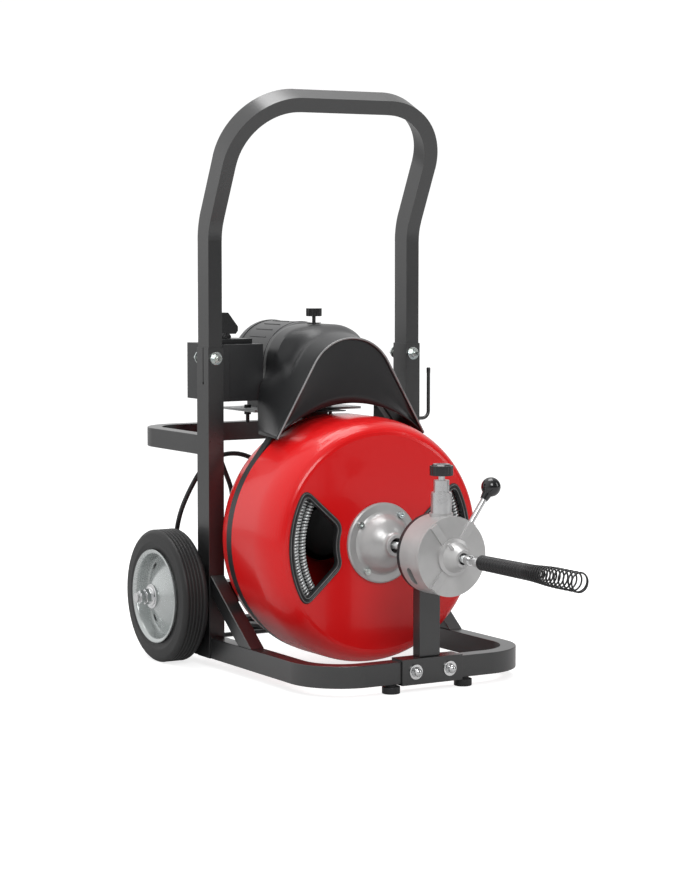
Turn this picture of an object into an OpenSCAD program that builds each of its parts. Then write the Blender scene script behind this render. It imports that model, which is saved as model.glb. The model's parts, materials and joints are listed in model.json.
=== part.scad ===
// Upright drum type drain cleaning machine on two wheels. Millimetres, +Z up, the cable leaves towards -Y.

/* [Frame] */
// outer half width of the tube frame
frame_hw = 200; // [170:1:240]
// height of the top of the handle
handle_top = 930; // [800:1:1100]
// distance from the posts' front face to the front of the base
base_front = 350; // [300:1:420]
// distance from the posts' front face to the back of the rear loop
loop_back = 285; // [220:1:340]
// tube thickness seen from above
tube_t = 25; // [20:0.5:32]
// height of the base tube
base_h = 34; // [28:0.5:42]
// underside of the base tube above the floor
base_z = 15; // [8:0.5:30]
// outer corner radius of the base
base_corner = 88; // [60:1:110]
// height at which the handle leaves the posts
post_top = 518; // [450:1:600]
// height at which the handle starts to lean forward
lean_z = 690; // [600:1:760]
// forward lean of the handle's upper part in degrees
lean = 26; // [0:1:40]
// outer corner radius of the handle
handle_corner = 118; // [80:1:140]

/* [Wheels] */
// wheel radius
wheel_r = 109; // [90:1:140]
// tyre width
tyre_w = 50; // [35:1:60]
// distance of the axle behind the posts' front face
axle_y = 94; // [60:1:130]
// axle radius
axle_r = 8; // [6:0.5:10]

/* [Drum] */
// drum radius
drum_r = 197.5; // [170:0.5:220]
// height of the drum's axis
axis_z = 213; // [205:1:240]
// distance from the drum's front face to the posts' front face
drum_front_y = 203; // [170:1:230]
// gap between the drum's back and the posts' front face
drum_back_y = 12; // [6:1:30]
// sheet thickness
sheet = 2.5; // [1.5:0.1:4]
// cable radius
cable_r = 6.3; // [4:0.1:8]

/* [Drive] */
// height of the motor's axis
motor_z = 485; // [460:1:520]
// motor radius
motor_r = 71; // [55:1:80]
// motor pulley radius
pulley_r = 26; // [15:0.5:40]
// bottom radius of the belt groove in the drum
groove_r = 193; // [180:0.5:200]
// belt width
belt_w = 16; // [10:1:25]

/* [Feed guide] */
// radius of the feed guide
guide_r = 61.2; // [45:0.2:75]
// front face of the feed guide ahead of the posts
guide_front = 406; // [380:1:430]
// lever angle from upright
lever_a = 35; // [-40:1:60]

/* [Hidden] */
$fn = 64;
y_off = 223.7;
hx = frame_hw - 12.2;
belt_y = -60;
axle_z = wheel_r;
base_mid = base_z + base_h / 2;
loop_z = 360;
loop_corner = 80;
back_y = -345;
tube_y = -375;
bore_r = 12;
run_gap = 0.05;
post_back = 38.4;
wheel_x = 205;
face_r = drum_r - 28;

// outlines
function arc2(c, rx, ry, a0, a1, n) =
    [for (i = [0:n]) let (a = a0 + (a1 - a0) * i / n) [c[0] + rx * cos(a), c[1] + ry * sin(a)]];
function rev(p) = [for (i = [len(p) - 1:-1:0]) p[i]];
function bez(p, a, b, n) =
    [for (i = [0:n]) let (t = i / n) a * (1 - t) * (1 - t) + p * 2 * t * (1 - t) + b * t * t];
function pol(r, a) = [r * cos(a), r * sin(a)];
function window_pts(o) =
    let (r0 = 82 - o, r1 = 163 + o, h0 = 22 + o * 0.6, h1 = 32 + o * 0.4, c = 13 + o * 0.8)
    let (k0 = c / r0 * 57.3, k1 = c / r1 * 57.3)
    let (e = c / norm(pol(r1, h1) - pol(r0, h0)))
    let (pi1 = pol(r0, h0), po1 = pol(r1, h1), pi0 = pol(r0, -h0), po0 = pol(r1, -h1))
    concat(
        arc2([0, 0], r1, r1, -h1 + k1, h1 - k1, 14),
        bez(po1, pol(r1, h1 - k1), po1 + (pi1 - po1) * e, 6),
        bez(pi1, pi1 + (po1 - pi1) * e, pol(r0, h0 - k0), 6),
        rev(arc2([0, 0], r0, r0, -h0 + k0, h0 - k0, 8)),
        bez(pi0, pol(r0, -h0 + k0), pi0 + (po0 - pi0) * e, 6),
        bez(po0, po0 + (pi0 - po0) * e, pol(r1, -h1 + k1), 6));

// swept cord
function vnorm(v) = v / norm(v);
function catmull(p, i, t) =
    let (a = p[max(i - 1, 0)], b = p[i], c = p[i + 1], d = p[min(i + 2, len(p) - 1)])
    0.5 * ((2 * b) + (c - a) * t + (2 * a - 5 * b + 4 * c - d) * t * t
    + (3 * b - a - 3 * c + d) * t * t * t);
function route(p, n) =
    concat([for (i = [0:len(p) - 2]) for (j = [0:n - 1]) catmull(p, i, j / n)], [p[len(p) - 1]]);
function tangent(q, i) = vnorm(q[min(i + 1, len(q) - 1)] - q[max(i - 1, 0)]);
function ring(c, t, r, n) =
    let (u = vnorm(cross(t, [0.15, 1, 0.1])), w = cross(t, u))
    [for (k = [0:n - 1]) c + r * (cos(360 * k / n) * u + sin(360 * k / n) * w)];

module tube(q, r, n) {
    m = len(q);
    polyhedron(
        points = [for (i = [0:m - 1]) each ring(q[i], tangent(q, i), r, n)],
        faces = concat(
            [[for (k = [0:n - 1]) k]],
            [for (i = [0:m - 2]) for (k = [0:n - 1]) [i * n + k, (i + 1) * n + k, (i + 1) * n + (k + 1) % n]],
            [for (i = [0:m - 2]) for (k = [0:n - 1]) [i * n + k, (i + 1) * n + (k + 1) % n, i * n + (k + 1) % n]],
            [[for (k = [n - 1:-1:0]) (m - 1) * n + k]]));
}

// places a shape drawn in the machine's own frame, whose zero is the posts' front face
module place() {
    translate([0, y_off, 0]) children();
}

// a profile turned about an axis along Y through the drum's axis height z
module turn_y(z) {
    translate([0, 0, z]) rotate([-90, 0, 0]) rotate_extrude($fn = 96) children();
}

// a cylinder along Y from y0 to y1
module cyl_y(x, z, r, y0, y1, sides = 64) {
    translate([x, y0, z]) rotate([-90, 0, 0]) cylinder(r = r, h = y1 - y0, $fn = sides);
}

// a cylinder along X from x0 to x1
module cyl_x(y, z, r, x0, x1, sides = 64) {
    translate([x0, y, z]) rotate([0, 90, 0]) cylinder(r = r, h = x1 - x0, $fn = sides);
}

module box(x0, x1, y0, y1, z0, z1) {
    translate([x0, y0, z0]) cube([x1 - x0, y1 - y0, z1 - z0]);
}

module tube_profile(w, h, t) {
    difference() {
        square([w, h], center = true);
        square([w - 2 * t, h - 2 * t], center = true);
    }
}

// half of a horizontal U of rectangular tube, drawn for the +X side, ends at y = 0 and x = 0
module u_half(hw, len_y, corner, t, h, wall) {
    r = corner - t / 2;
    translate([hw - t / 2, 0, 0]) rotate([90, 0, 0]) linear_extrude(len_y - corner) tube_profile(t, h, wall);
    translate([hw - corner, corner - len_y, 0]) rotate([0, 0, -90])
        rotate_extrude(angle = 90, $fn = 96) translate([r, 0]) tube_profile(t, h, wall);
    translate([0, t / 2 - len_y, 0]) rotate([90, 0, 90]) linear_extrude(hw - corner) tube_profile(t, h, wall);
}

module base_loop() {
    color("#26272a") place() translate([0, -1.6, base_mid]) {
        u_half(frame_hw, base_front - 1.6, base_corner, tube_t, base_h, 2);
        mirror([1, 0, 0]) u_half(frame_hw, base_front - 1.6, base_corner, tube_t, base_h, 2);
    }
}

module rear_loop() {
    color("#26272a") place() translate([0, post_back, loop_z]) mirror([0, 1, 0]) {
        u_half(frame_hw, loop_back - post_back, loop_corner, tube_t, 32, 2);
        mirror([1, 0, 0]) u_half(frame_hw, loop_back - post_back, loop_corner, tube_t, 32, 2);
    }
}

module post(s) {
    difference() {
        box(hx - 13.8, hx + 13.8, -1.6, post_back, base_z, post_top);
        box(hx - 12.2, hx + 12.2, 0, 36.8, base_z + 2, post_top + 1);
        box(hx + 10, hx + 15, 15.7, 17.7, 462, post_top + 1);
        cyl_x(16.7, 461, 2.5, hx + 10, hx + 15);
        cyl_y(hx, 501, 4, -5, 45);
    }
}

module posts() {
    color("#2a2b2e") place() {
        post(1);
        mirror([1, 0, 0]) post(1);
    }
}

module handle_leg() {
    r = 90;
    h = lean_z - 440;
    up = (handle_top - lean_z - r * sin(lean) - 18 * sin(lean)) / cos(lean) - handle_corner;
    difference() {
        translate([hx, 18.4, 440]) linear_extrude(h) tube_profile(24.4, 36.8, 1.6);
        cyl_y(hx, 501, 4, -5, 45);
    }
    translate([hx, 18.4 - r, lean_z]) rotate([90, 0, 90]) rotate_extrude(angle = lean, $fn = 96)
        translate([r, 0]) tube_profile(37, 24.6, 1.8);
    translate([0, 18.4 - r, lean_z]) rotate([lean, 0, 0]) translate([0, r, 0]) {
        translate([hx, 0, 0]) linear_extrude(up) tube_profile(24.4, 36.8, 1.6);
        translate([hx + 12.2 - handle_corner, 0, up]) rotate([90, 0, 0])
            rotate_extrude(angle = 90, $fn = 96)
            translate([handle_corner - 12.2, 0]) tube_profile(24.6, 37, 1.8);
        translate([0, 0, up + handle_corner - 12.2]) rotate([0, 90, 0])
            linear_extrude(hx + 12.2 - handle_corner) tube_profile(24.4, 36.8, 1.6);
    }
}

module handle() {
    color("#1f2022") place() {
        handle_leg();
        mirror([1, 0, 0]) handle_leg();
    }
}

module handle_bolt(x) {
    cyl_y(x, 501, 3.9, -14, 62);
    cyl_y(x, 501, 10.5, -3.4, -1.6);
    cyl_y(x, 501, 7.6, -10.5, -3.4, 6);
    cyl_y(x, 501, 8, post_back, 50);
    cyl_y(x, 501, 11, 50, 52);
    cyl_y(x, 501, 9, 52, 59, 6);
}

module handle_bolts() {
    color("#c9ced2") place() {
        handle_bolt(-hx);
        handle_bolt(hx);
    }
}

module brace() {
    translate([frame_hw - tube_t, 0, 0]) rotate([90, 0, 90]) linear_extrude(tube_t)
        polygon([[-1.6, 120], [-1.6, 151], [-137, base_z + base_h], [-95, base_z + base_h]]);
}

module braces() {
    color("#26272a") place() {
        brace();
        mirror([1, 0, 0]) brace();
    }
}

module support_frame() {
    color("#26272a") place() difference() {
        union() {
            box(-hx + 13.8, hx - 13.8, 4, 34, 103, 137);
            box(-25, 25, 4, 34, 137, 407);
            box(-60, 60, 4, 34, 407, 409);
        }
        box(-hx + 10, hx - 10, 6, 32, 105, 135);
        box(-23, 23, 6, 32, 137, 185);
        box(-23, 23, 6, 32, 241, 406);
        cyl_y(0, axis_z, 24, 0, 40);
    }
}

module axle_bracket() {
    difference() {
        union() {
            box(frame_hw - tube_t, frame_hw, post_back, 130, base_z, base_z + base_h);
            translate([frame_hw - 6, 0, 0]) rotate([90, 0, 90]) linear_extrude(6)
                polygon([[post_back, 49], [130, 49], [122, 120], [106, 132], [post_back, 160]]);
        }
        box(frame_hw - tube_t + 2, frame_hw - 2, post_back - 1, 128, base_z + 2, base_z + base_h - 2);
        cyl_x(axle_y, axle_z, axle_r, 150, 250);
    }
}

module axle_brackets() {
    color("#26272a") place() {
        axle_bracket();
        mirror([1, 0, 0]) axle_bracket();
    }
}

module axle() {
    color("#b9bcc0") place() difference() {
        cyl_x(axle_y, axle_z, axle_r, -287, 287);
        for (s = [-1, 1]) translate([s * 284, axle_y, axle_z]) cylinder(r = 1.6, h = 40, center = true);
    }
}

module axle_end() {
    difference() {
        union() {
            cyl_x(axle_y, axle_z, 15, frame_hw, 203);
            cyl_x(axle_y, axle_z, 16, 257.6, 260);
            cyl_x(axle_y, axle_z, 12.6, 260, 270, 6);
            cyl_x(axle_y, axle_z, 10.4, 273, 281, 6);
        }
        cyl_x(axle_y, axle_z, axle_r, 190, 290);
    }
}

module axle_nuts() {
    color("#cfd3d6") place() {
        axle_end();
        mirror([1, 0, 0]) axle_end();
    }
}

module tyre() {
    translate([wheel_x, axle_y, axle_z]) rotate([0, 90, 0]) rotate_extrude($fn = 96) polygon(concat(
        [[72, 4], [86, 2]],
        arc2([wheel_r - 9, 9], 9, 8, -80, 0, 6),
        [[wheel_r, 12], [wheel_r - 2, 12.5], [wheel_r - 2, 14.5], [wheel_r, 15]],
        [[wheel_r, 21], [wheel_r - 2, 21.5], [wheel_r - 2, 23.5], [wheel_r, 24]],
        [[wheel_r, 27], [wheel_r - 2, 27.5], [wheel_r - 2, 29.5], [wheel_r, 30]],
        [[wheel_r, 35], [wheel_r - 2, 35.5], [wheel_r - 2, 37.5], [wheel_r, 38]],
        arc2([wheel_r - 9, tyre_w - 9], 9, 8, 0, 80, 6),
        [[86, tyre_w - 2], [72, tyre_w - 4]]));
}

module rim() {
    translate([wheel_x, axle_y, axle_z]) rotate([0, 90, 0]) difference() {
        rotate_extrude($fn = 96) polygon([
            [axle_r + run_gap, -1.4], [18, -1.4], [18, 22], [40, 25], [56, 22], [66, 16], [69.5, 10], [69.5, 2],
            [76.8, 0.5], [76.8, 3], [72, 4], [72, tyre_w - 4], [76.8, tyre_w - 3], [76.8, tyre_w - 0.5],
            [69.5, tyre_w - 2], [69.5, 20], [66, 22], [56, 26], [44, 33], [32, 41], [22, 45.5], [19, 47],
            [18, 52], [axle_r + run_gap, 52]]);
        for (a = [45:90:360]) rotate([0, 0, a]) translate([55, 0, 0]) cylinder(r = 4.5, h = 60);
    }
}

module tyre_left() { color("#1b1b1c") place() mirror([1, 0, 0]) tyre(); }
module tyre_right() { color("#1b1b1c") place() tyre(); }
module rim_left() { color("#c4c8ca") place() mirror([1, 0, 0]) rim(); }
module rim_right() { color("#c4c8ca") place() rim(); }

module front_sleeve() {
    color("#232427") place() difference() {
        box(-55, 55, -base_front - 3, -base_front + tube_t + 3, base_z - 3, base_z + base_h + 3);
        box(-56, 56, -base_front, -base_front + tube_t, base_z, base_z + base_h);
        for (s = [-1, 1]) cyl_y(s * 31, base_mid, 4.1, -360, -340);
    }
}

module sleeve_bolts() {
    color("#d4d7da") place() for (s = [-1, 1]) {
        cyl_y(s * 31, base_mid, 4, -353, -350);
        cyl_y(s * 31, base_mid, 11.5, -355, -353);
        cyl_y(s * 31, base_mid, 8, -359, -355, 6);
        translate([s * 31, -359, base_mid]) intersection() {
            sphere(r = 6.5, $fn = 48);
            box(-7, 7, -7, 0, -7, 7);
        }
    }
}

module front_post() {
    color("#2b2c2f") place() difference() {
        box(-18.5, 18.5, back_y, -325, base_z + base_h + 3, 196);
        box(-16.5, 16.5, back_y + 2, -327, base_z + base_h + 4, 194);
        box(-8, 8, -335, -320, base_z + base_h + 8, base_z + base_h + 20);
    }
}

module feet() {
    color("#18181a") place() for (s = [-1, 1]) translate([s * 66, -base_front + tube_t / 2, 0]) {
        cylinder(r = 14, h = 11);
        translate([0, 0, 11]) cylinder(r = 9, h = base_z - 11);
    }
}

module guide_backplate() {
    color("#1d1d1f") place() difference() {
        cyl_y(0, axis_z, guide_r, -353, back_y);
        cyl_y(0, axis_z, 9, -360, -340);
        for (a = [45:90:360]) cyl_y(53 * cos(a), axis_z + 53 * sin(a), 2.5, -360, -340);
    }
}

module guide_body() {
    color("#b9b7b5") place() difference() {
        union() {
            cyl_y(0, axis_z, guide_r, -398, -353);
            translate([0, tube_y, axis_z + 46.5]) cylinder(r = 18, h = 17.5);
        }
        cyl_y(0, axis_z, 46, -399, -356);
        cyl_y(0, axis_z, 9, -357, -350);
        translate([0, tube_y, axis_z + 46.5]) cylinder(r = 15.5, h = 60);
        translate([0, tube_y, axis_z + 30]) cylinder(r = bore_r, h = 30);
        translate([0, tube_y, axis_z]) rotate([0, -120, 0]) {
            translate([-8, 0, 0]) cylinder(r = 7, h = 70);
            translate([8, 0, 0]) cylinder(r = 7, h = 70);
            box(-8, 8, -7, 7, 0, 70);
        }
    }
}

module guide_cap() {
    color("#cfd0d1") place() difference() {
        union() {
            turn_y(axis_z) polygon([
                [9, -389], [46 - run_gap, -389], [46 - run_gap, -398.4], [guide_r, -398.4],
                [guide_r, -405], [28.5, -408], [28.5, -413], [23, -415], [19, -424], [14, -434],
                [13, -436.5], [9, -436.5]]);
            for (a = [lever_a, -36, 216]) translate([0, 0, axis_z]) rotate([0, a, 0])
                box(-6, 6, -410.5, -403, 24, guide_r - 1);
        }
        translate([0, 0, axis_z]) rotate([0, lever_a, 0]) translate([0, -403.5, 40]) cylinder(r = 4.5, h = 30);
        translate([0, -424, axis_z]) rotate([0, -40, 0]) cylinder(r = 2.6, h = 30);
    }
}

module lever_rod() {
    color("#c6c9cc") place() translate([0, -403.5, axis_z]) rotate([0, lever_a, 0]) {
        translate([0, 0, 40]) cylinder(r = 4.5, h = 62);
        translate([0, 0, 102]) cylinder(r = 3, h = 16);
    }
}

module lever_ball() {
    color("#171718") place() translate([0, -403.5, axis_z]) rotate([0, lever_a, 0]) difference() {
        union() {
            translate([0, 0, 124.7]) sphere(r = 15, $fn = 64);
            translate([0, 0, 102]) cylinder(r1 = 6, r2 = 8, h = 12);
        }
        translate([0, 0, 100]) cylinder(r = 3, h = 18);
    }
}

module feed_rollers() {
    color("#aeb2b5") place() for (a = [30, 150]) {
        cyl_y(15.9 * cos(a), axis_z - 15.9 * sin(a), 3, -389, -360);
        cyl_y(15.9 * cos(a), axis_z - 15.9 * sin(a), 9, -384, -362);
    }
}

module guide_tube() {
    color("#bfc1c2") place() translate([0, tube_y, 0]) difference() {
        union() {
            translate([0, 0, 259.5]) cylinder(r = 15.5, h = 49.1);
            for (i = [0:15]) translate([0, 0, 280 + i * 1.75]) cylinder(r = 16, h = 0.8);
        }
        translate([0, 0, 240]) cylinder(r = bore_r, h = 80);
    }
}

module tension_bush() {
    color("#c9cbcc") place() translate([0, tube_y, 0]) difference() {
        translate([0, 0, 272]) cylinder(r = bore_r, h = 55);
        translate([0, 0, 270]) cylinder(r = 5.36, h = 60);
    }
}

module tension_plunger() {
    color("#9fa3a6") place() translate([0, tube_y, 0]) difference() {
        union() {
            translate([0, 0, 236]) cylinder(r = bore_r - run_gap, h = 34);
            translate([0, 0, 226.5]) cylinder(r1 = 6, r2 = 9, h = 9.5);
        }
        translate([0, 0, 252]) cylinder(r = 5.36, h = 20);
    }
}

module tension_screw() {
    color("#c6c9cc") place() translate([0, tube_y, 252.4]) cylinder(r = 5.3, h = 81.6);
}

module tension_knob() {
    color("#161617") place() translate([0, tube_y, 334]) difference() {
        union() {
            linear_extrude(15) polygon([for (i = [0:71]) pol(18 - (i % 4 == 0 ? 1.1 : i % 4 == 2 ? 0 : 0.4), i * 5)]);
            translate([0, 0, 15]) cylinder(r1 = 16, r2 = 13, h = 2.5);
        }
        translate([0, 0, 16.5]) cylinder(r = 8, h = 2);
    }
}

// the flat face of the drum, with its two windows
module drum_face() {
    f = -drum_front_y;
    color("#c8171f") place() difference() {
        turn_y(axis_z) polygon([[20, f], [face_r, f], [face_r, f + sheet], [20, f + sheet]]);
        for (s = [0, 180]) translate([0, f - 5, axis_z]) rotate([-90, 0, 0]) rotate([0, 0, s])
            linear_extrude(30) polygon(window_pts(0));
        for (a = [54:90:360]) cyl_y(53.5 * cos(a), axis_z + 53.5 * sin(a), 3, f - 5, f + 10);
    }
}

// the rounded shoulder and the wall behind it
module drum_front() {
    f = -drum_front_y;
    color("#c8171f") place() turn_y(axis_z) polygon(concat(
        [[face_r, f], [drum_r - 27, f]],
        arc2([drum_r - 27, f + 62], 27, 62, -80, 0, 12),
        [[drum_r, -70], [drum_r - sheet, -70]],
        rev(arc2([drum_r - 27, f + 62], 27 - sheet, 62 - sheet, -80, 0, 12)),
        [[face_r, f + sheet]]));
}

module drum_rear() {
    b = -drum_back_y;
    color("#b8141b") place() turn_y(axis_z) polygon(concat(
        [[drum_r - 2 * sheet - 0.2, -76], [drum_r - sheet - 0.1, -76], [drum_r - sheet - 0.1, -70], [drum_r, -70],
        [drum_r, -69.5], [groove_r, -69], [groove_r, -51], [drum_r - 1.5, -50.5], [drum_r - 2, -48]],
        arc2([drum_r - 26, b - 34], 23, 34, 10, 84, 10),
        [[10, b], [10, b - sheet], [drum_r - 26, b - sheet]],
        rev(arc2([drum_r - 26, b - 34], 23 - sheet, 34 - sheet, 5, 84, 10)),
        [[drum_r - 2 * sheet - 2, -48], [groove_r - sheet, -51], [groove_r - sheet, -70]]));
}

module window_trims() {
    f = -drum_front_y;
    color("#141415") place() for (s = [0, 180])
        translate([0, f, axis_z]) rotate([-90, 0, 0]) rotate([0, 0, s]) difference() {
            union() {
                translate([0, 0, -3]) linear_extrude(3) polygon(window_pts(5));
                linear_extrude(7) polygon(window_pts(0));
            }
            translate([0, 0, -4]) linear_extrude(14) polygon(window_pts(-3.5));
        }
}

module drum_hub() {
    f = -drum_front_y;
    color("#c9cbcd") place() difference() {
        turn_y(axis_z) polygon([[12, f + 14], [20, f + 14], [20, f], [64, f], [64, f - 4], [61.5, f - 6],
            [51, f - 6.5], [47, f - 9.5], [43.5, f - 16], [37, f - 25], [28, f - 32], [20.5, f - 36],
            [18, f - 40], [18, f - 45], [16.5, f - 46.5], [12, f - 46.5]]);
        for (a = [54:90:360]) {
            cyl_y(53.5 * cos(a), axis_z + 53.5 * sin(a), 3, f - 12, f + 10);
            cyl_y(53.5 * cos(a), axis_z + 53.5 * sin(a), 5.8, f - 20, f - 6.5);
        }
    }
}

module hub_screws() {
    f = -drum_front_y;
    color("#a9b7bb") place() for (a = [54:90:360])
        translate([53.5 * cos(a), 0, axis_z + 53.5 * sin(a)]) {
            cyl_y(0, 0, 2.9, f - 6.5, f + 8);
            difference() {
                cyl_y(0, 0, 5.4, f - 12, f - 6.5);
                cyl_y(0, 0, 2.6, f - 13, f - 9, 6);
            }
        }
}

module drum_shaft() {
    b = -drum_back_y;
    color("#9ea2a5") place() union() {
        turn_y(axis_z) polygon([[0, b - 14], [40, b - 14], [48, b - 10], [48, b - sheet], [10, b - sheet],
            [10, 46.5], [8, 46.5], [8, 60], [0, 60]]);
        cyl_y(0, axis_z, 14, 47, 55, 6);
    }
}

// the wound cable: four layers of seven turns, drawn as one ring with a ridge at each turn it shows
coil_r = 172;
coil_front = -183;
coil_step = 12.8;
coil_last = coil_front + 6 * coil_step;
coil_in = coil_r - 3 * coil_step;
function ridge(r, y, a) = arc2([r, y], cable_r, cable_r, a - 85, a + 85, 5);
function end_ridge(r, y, a) = arc2([r, y], cable_r, cable_r, a - 85, a + 175, 8);

module cable_coil() {
    color("#8d9193") place() turn_y(axis_z) polygon(concat(
        [for (i = [1:5]) each ridge(coil_r, coil_front + i * coil_step, 0)],
        end_ridge(coil_r, coil_last, 0),
        [for (k = [1:2]) each ridge(coil_r - k * coil_step, coil_last, 90)],
        end_ridge(coil_in, coil_last, 90),
        [for (i = [5:-1:1]) each ridge(coil_in, coil_front + i * coil_step, 180)],
        end_ridge(coil_in, coil_front, 180),
        [for (k = [2:-1:1]) each ridge(coil_r - k * coil_step, coil_front, 270)],
        end_ridge(coil_r, coil_front, 270)));
}

module cable_run() {
    color("#8d9193") place() {
        cyl_y(0, axis_z, cable_r, -446, -140);
        translate([0, -140, axis_z + 60]) rotate([0, 90, 0]) rotate_extrude(angle = 90, $fn = 96)
            translate([60, 0]) circle(r = cable_r, $fn = 32);
        translate([0, -80, axis_z + 60]) cylinder(r = cable_r, h = 85.5);
    }
}

module cable_coupling() {
    color("#c3c6c8") place() difference() {
        union() {
            cyl_y(0, axis_z, 8, -456, -446);
            cyl_y(0, axis_z, 6.4, -470, -456);
            cyl_y(0, axis_z, 8.6, -483.5, -470);
            cyl_y(0, axis_z, 7.2, -500, -483.5);
        }
        translate([0, -463, axis_z]) cylinder(r = 2.2, h = 30, center = true);
        box(-10, 10, -466, -460, axis_z + 3.8, axis_z + 12);
        box(-10, 10, -466, -460, axis_z - 12, axis_z - 3.8);
    }
}

// the boring head's spring: close wound behind, open towards the tip
coil_wire = 1.3;
coil_y0 = -484;
coil_y1 = -602;
coil_turns = 13;
function close_r(t) = 10.3 + 0.9 * t;
function open_pt(t) =
    let (a = 360 * coil_turns * t, r = 10 + 3.1 * min(1, 2.2 * t), y = coil_y1 + 2 - 126 * (0.35 * t + 0.65 * t * t))
    [r * cos(a), y, axis_z + r * sin(a)];

module auger_head() {
    m = coil_turns * 12;
    w = coil_y0 - coil_y1;
    q = [for (i = [0:m]) open_pt(i / m)];
    color("#151516") place() {
        turn_y(axis_z) polygon(concat(
            [[7.3, coil_y1], [7.3, coil_y0]],
            [for (i = [0:44]) each [[close_r(i / 44), coil_y0 - w * (i + 0.2) / 45.4],
                [close_r(i / 44) - 0.9, coil_y0 - w * (i + 0.75) / 45.4]]],
            [[11.2, coil_y1]]));
        tube(q, coil_wire, 6);
    }
}

module bearing_housing() {
    color("#55585b") place() difference() {
        cyl_y(0, axis_z, 24, -6, 44);
        cyl_y(0, axis_z, 12, -7, 45);
        cyl_y(0, axis_z, 17, -7, 7);
        cyl_y(0, axis_z, 17, 31, 45);
    }
}

module drum_bearings() {
    color("#b5b8ba") place() for (y = [-5, 31]) difference() {
        cyl_y(0, axis_z, 17, y, y + 12);
        cyl_y(0, axis_z, 10 + run_gap, y - 1, y + 13);
    }
}

module belt_shape(rd, rp) {
    d = motor_z - axis_z;
    a = acos((rd - rp) / d);
    circle(r = rd, $fn = 128);
    translate([0, d]) circle(r = rp, $fn = 64);
    polygon([[rd * sin(a), rd * cos(a)], [rp * sin(a), d + rp * cos(a)],
        [-rp * sin(a), d + rp * cos(a)], [-rd * sin(a), rd * cos(a)]]);
}

module drive_belt() {
    color("#232321") place() translate([0, belt_y + belt_w / 2, axis_z]) rotate([90, 0, 0]) difference() {
        linear_extrude(belt_w) belt_shape(groove_r + 3.8, pulley_r + 3.8);
        translate([0, 0, -1]) linear_extrude(belt_w + 2) belt_shape(groove_r + 0.5, pulley_r + 0.5);
    }
}

module motor_pulley() {
    color("#7e8285") place() difference() {
        turn_y(motor_z) polygon([[axle_r, -74], [17, -74], [17, -71], [pulley_r + 4, -71], [pulley_r + 4, -69],
            [pulley_r, -68.8], [pulley_r, -51.2], [pulley_r + 4, -51], [pulley_r + 4, -49], [14, -49],
            [14, -38], [axle_r, -38]]);
        translate([0, -43, motor_z]) cylinder(r = 2.5, h = 20);
    }
}

module motor_shaft() {
    color("#b0b3b5") place() cyl_y(0, motor_z, axle_r, -76, 140);
}

module motor_body() {
    color("#2f3133") place() difference() {
        union() {
            turn_y(motor_z) polygon([[axle_r + run_gap, 24.6], [22, 24.6], [24, 27], [58, 28], [68, 33],
                [motor_r, 40], [motor_r, 148], [50, 148], [50, 36], [axle_r + run_gap, 36]]);
            for (s = [-1, 1]) box(s * 45 - 14, s * 45 + 14, 50, 130, 413, motor_z - 50);
        }
        for (s = [-1, 1]) for (y = [62, 118]) translate([s * 45, y, 405]) cylinder(r = 3, h = 14);
        for (x = [-44:11:44]) box(x - 2, x + 2, 146.5, 149, motor_z - 22, motor_z + 22);
    }
}

module motor_cap() {
    color("#292b2d") place() difference() {
        turn_y(motor_z) polygon(concat([[0, 148], [motor_r, 148], [motor_r + 1, 148.5], [motor_r + 1, 151]],
            arc2([motor_r - 15, 154], 16, 20, 0, 90, 8), [[0, 175]]));
        for (a = [0:30:330]) translate([0, 0, motor_z]) rotate([0, a, 0]) box(-2, 2, 171, 180, 22, 50);
    }
}

module motor_plate() {
    color("#8d9092") place() difference() {
        box(-102, 102, 26, 140, 409, 413);
        for (s = [-1, 1]) for (y = [62, 118]) translate([s * 45, y, 400]) cylinder(r = 3, h = 20);
        for (s = [-1, 1]) translate([s * 80, 90, 400]) cylinder(r = 3.2, h = 20);
    }
}

module motor_bolts() {
    color("#3a3c3e") place() {
        for (s = [-1, 1]) for (y = [62, 118]) translate([s * 45, y, 0]) {
            translate([0, 0, 404]) cylinder(r = 2.9, h = 15);
            translate([0, 0, 404]) cylinder(r = 6, h = 5, $fn = 6);
        }
        for (s = [-1, 1]) translate([s * 80, 90, 0]) {
            translate([0, 0, 388]) cylinder(r = 3.1, h = 28);
            translate([0, 0, 413]) cylinder(r = 6.5, h = 5, $fn = 6);
            translate([0, 0, 402]) cylinder(r = 6.5, h = 5, $fn = 6);
        }
    }
}

function crest_pts(o) = concat(
    [[139 - o * 0.6, 374]],
    arc2([0, 454], 80 - o, 80 - o, 30, 150, 16),
    [[-139 + o * 0.6, 374]]);
function sup(a, n) = sign(a) * pow(abs(a), n);
function dome_pts(o) = concat(
    [[88 - o, 416]],
    [for (i = [0:16]) let (a = 180 * i / 16) [(88 - o) * sup(cos(a), 0.78), 478 + (76 - o) * sup(sin(a), 0.78)]],
    [[-88 + o, 416]]);

// an outline in the XZ plane between y0 and y1
module slab_y(y0, y1) {
    translate([0, y1, 0]) rotate([90, 0, 0]) linear_extrude(y1 - y0) children();
}

module belt_guard() {
    color("#1c1d1f") place() difference() {
        union() {
            slab_y(-112, -48) polygon(crest_pts(0));
            slab_y(-114, -106) polygon(crest_pts(-2));
            slab_y(-100, 22) polygon(dome_pts(0));
        }
        slab_y(-109, -40) polygon(crest_pts(3));
        slab_y(-97, 30) polygon(dome_pts(3));
        cyl_y(0, axis_z, 216, -120, -40);
        translate([0, 8, 540]) cylinder(r = 3.5, h = 30);
    }
}

module guard_post() {
    color("#3a3c3e") place() difference() {
        union() {
            box(-10, 10, 0, 16, 547, 550);
            box(-10, 10, 14, 16, motor_z + 44, 547);
            box(-10, 10, 16, 27.5, motor_z + 44, motor_z + 47);
        }
        translate([0, 8, 540]) cylinder(r = 3.05, h = 30);
    }
}

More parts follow.
